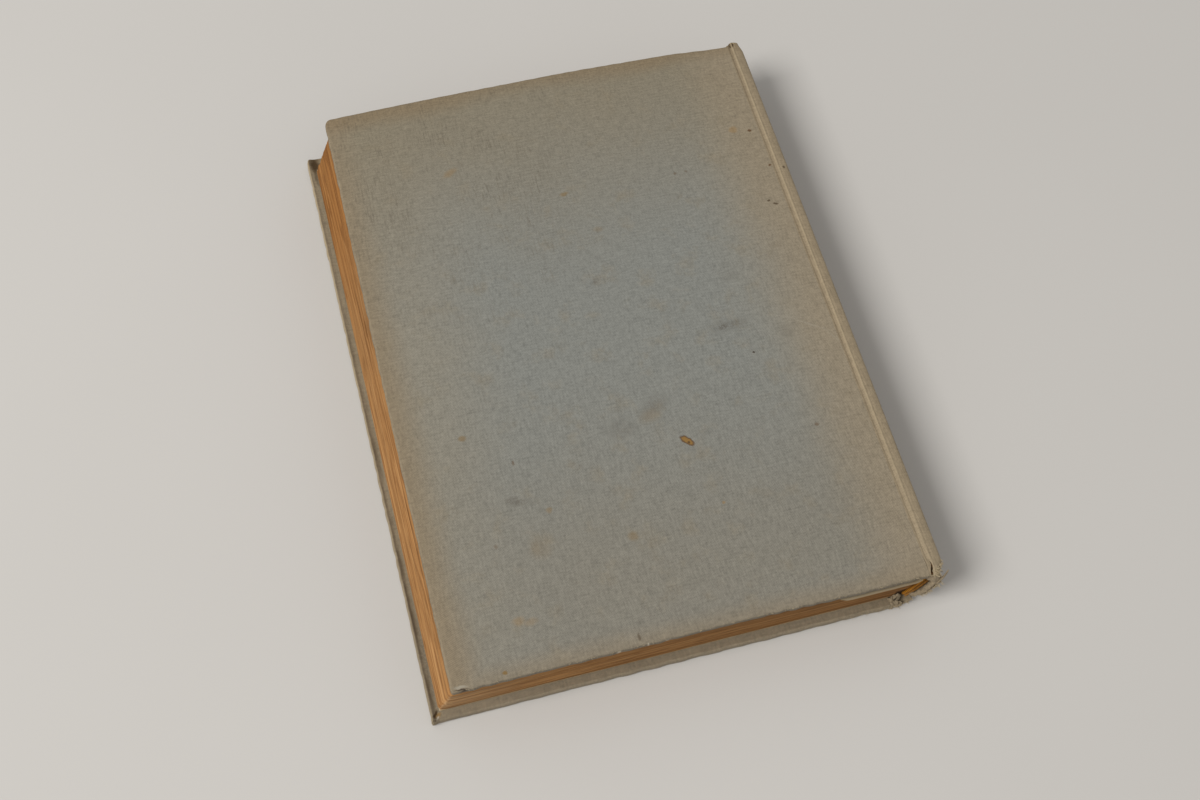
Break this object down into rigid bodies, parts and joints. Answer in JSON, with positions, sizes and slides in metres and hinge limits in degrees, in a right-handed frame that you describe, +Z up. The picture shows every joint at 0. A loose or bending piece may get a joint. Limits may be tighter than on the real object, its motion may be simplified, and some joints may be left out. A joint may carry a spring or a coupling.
{
  "type": "book",
  "caption": "Closed cloth-bound hardback book lying on its front cover, leaning and worn, with toned page edges, a torn spine tail and covers that open on cloth joints.",
  "frame": {"origin": "middle of the front cover's outer face, which the book lies on", "axes": "+X from the fore-edge to the spine, +Y from the tail to the head, +Z up, from the front cover to the back cover"},
  "size_m": [0.1913, 0.25, 0.0294],
  "materials": {
    "page_edges": "toned, rough-cut leaf edges",
    "cover_cloth": "plain weave, faded and sooty",
    "endpaper": "matt, toned",
    "board": "grey board",
    "inlay_card": "brown card",
    "spine_lining": "open weave stiffened with glue",
    "band": "stitched bead"
  },
  "bodies": {
    "text_block": {"text_block": "page_edges", "spine_lining": "spine_lining", "head_band": "band", "tail_band": "band", "front_flyleaf": "endpaper", "back_flyleaf": "endpaper", "spine_inlay": "inlay_card", "spine_cloth": "cover_cloth", "front_joint_cloth": "cover_cloth", "front_inner_hinge": "endpaper", "back_joint_cloth": "cover_cloth", "back_inner_hinge": "endpaper"},
    "front_cover": {"front_board": "board", "front_cloth": "cover_cloth", "front_pastedown": "endpaper"},
    "back_cover": {"back_board": "board", "back_cloth": "cover_cloth", "back_pastedown": "endpaper"}
  },
  "joints": [
    {"name": "front_cover_hinge", "type": "hinge", "parent": "text_block", "child": "front_cover", "pos_m": [0.0907, 0, 0.00175], "axis": [0, -1, 0], "range_deg": [0, 180], "deforming": ["front_joint_cloth", "front_inner_hinge"]},
    {"name": "back_cover_hinge", "type": "hinge", "parent": "text_block", "child": "back_cover", "pos_m": [0.1004, 0, 0.02765], "axis": [0, 1, 0], "range_deg": [0, 180], "deforming": ["back_joint_cloth", "back_inner_hinge"]}
  ]
}
